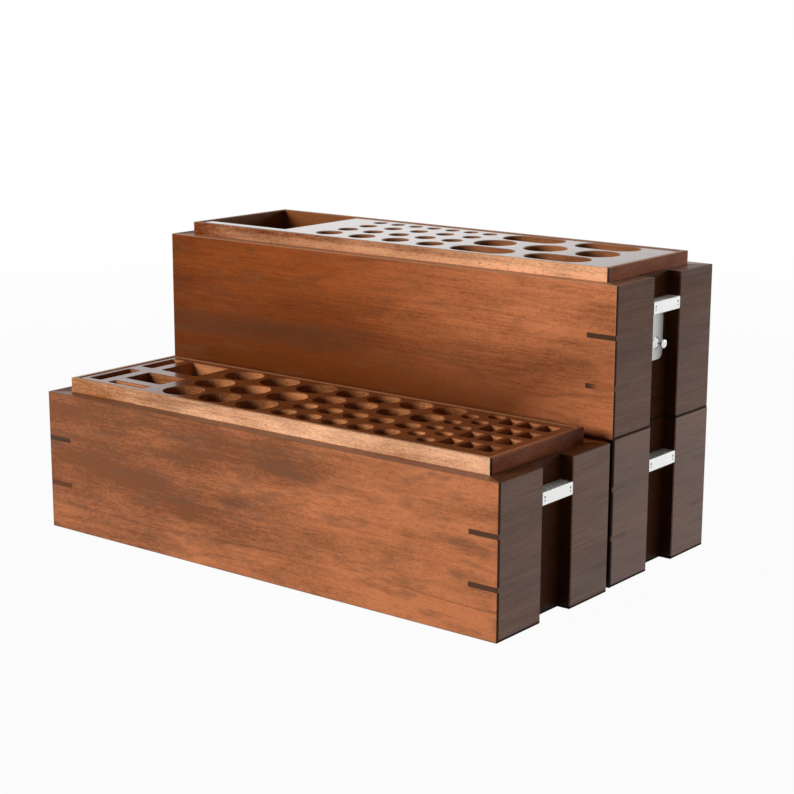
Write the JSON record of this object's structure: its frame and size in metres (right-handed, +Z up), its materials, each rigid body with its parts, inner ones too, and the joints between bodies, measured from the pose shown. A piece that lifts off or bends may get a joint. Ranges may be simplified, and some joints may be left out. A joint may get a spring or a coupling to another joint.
{
  "type": "tiered desk organizer",
  "caption": "Desk organizer of stackable hardwood boxes in tiers, with keyed mitred corners, lift-out perforated racks, locating collars and metal grip bars.",
  "frame": {"origin": "on the desk, in the middle of the footprint of all the boxes", "axes": "+X along the boxes, to the right seen from the front; +Y to the rear; +Z up"},
  "size_m": [0.352, 0.2266, 0.1861],
  "materials": {
    "board_wood": "satin oiled",
    "collar_wood": "satin oiled",
    "rack_wood": "satin oiled",
    "panel_wood": "matt",
    "dark_key_wood": "satin oiled",
    "grip_aluminium": "satin",
    "bolt_steel": "satin"
  },
  "bodies": {
    "rear_box": {"rear_back_board": "board_wood", "rear_bottom_panel": "panel_wood", "rear_cleat_left": "panel_wood", "rear_cleat_right": "panel_wood", "rear_collar_back": "collar_wood", "rear_collar_face": "collar_wood", "rear_collar_left": "collar_wood", "rear_collar_right": "collar_wood", "rear_corner_keys": "dark_key_wood", "rear_face_board": "board_wood", "rear_grip_pins": "bolt_steel", "rear_left_end": "board_wood", "rear_left_grip_bar": "grip_aluminium", "rear_rack_partition": "rack_wood", "rear_rack_plate": "rack_wood", "rear_right_end": "board_wood", "rear_right_grip_bar": "grip_aluminium"},
    "front_box": {"front_back_board": "board_wood", "front_bottom_panel": "panel_wood", "front_cleat_left": "panel_wood", "front_cleat_right": "panel_wood", "front_collar_back": "collar_wood", "front_collar_face": "collar_wood", "front_collar_left": "collar_wood", "front_collar_right": "collar_wood", "front_corner_keys": "dark_key_wood", "front_face_board": "board_wood", "front_grip_pins": "bolt_steel", "front_left_end": "board_wood", "front_left_grip_bar": "grip_aluminium", "front_right_end": "board_wood", "front_right_grip_bar": "grip_aluminium"},
    "upper_box": {"upper_back_board": "board_wood", "upper_bottom_panel": "panel_wood", "upper_cleat_right": "panel_wood", "upper_collar_back": "collar_wood", "upper_collar_face": "collar_wood", "upper_collar_left": "collar_wood", "upper_collar_right": "collar_wood", "upper_corner_keys": "dark_key_wood", "upper_face_board": "board_wood", "upper_grip_pins": "bolt_steel", "upper_left_end": "board_wood", "upper_left_grip_bar": "grip_aluminium", "upper_right_end": "board_wood", "upper_right_grip_bar": "grip_aluminium"},
    "front_rack": {"front_rack_partition_left": "rack_wood", "front_rack_partition_right": "rack_wood", "front_rack_plate": "rack_wood"},
    "upper_rack": {"upper_compartment_divider_front": "rack_wood", "upper_compartment_divider_right": "rack_wood", "upper_rack_partition": "rack_wood", "upper_rack_plate": "rack_wood"},
    "left_bolt": {"upper_left_bolt": "bolt_steel", "upper_left_bolt_knob": "bolt_steel"},
    "right_bolt": {"upper_right_bolt": "bolt_steel", "upper_right_bolt_knob": "bolt_steel"}
  },
  "joints": [
    {"name": "upper_box_lift", "type": "slide", "parent": "rear_box", "child": "upper_box", "axis": [0, 0, 1], "range_m": [0, 0.12]},
    {"name": "front_box_pull", "type": "slide", "parent": "rear_box", "child": "front_box", "axis": [0, -1, 0], "range_m": [0, 0.15]},
    {"name": "front_rack_lift", "type": "slide", "parent": "front_box", "child": "front_rack", "axis": [0, 0, 1], "range_m": [0, 0.09]},
    {"name": "upper_rack_lift", "type": "slide", "parent": "upper_box", "child": "upper_rack", "axis": [0, 0, 1], "range_m": [0, 0.09]},
    {"name": "left_bolt_slide", "type": "slide", "parent": "upper_box", "child": "left_bolt", "axis": [0, 0, 1], "range_m": [0, 0.014]},
    {"name": "right_bolt_slide", "type": "slide", "parent": "upper_box", "child": "right_bolt", "axis": [0, 0, 1], "range_m": [0, 0.014]}
  ]
}
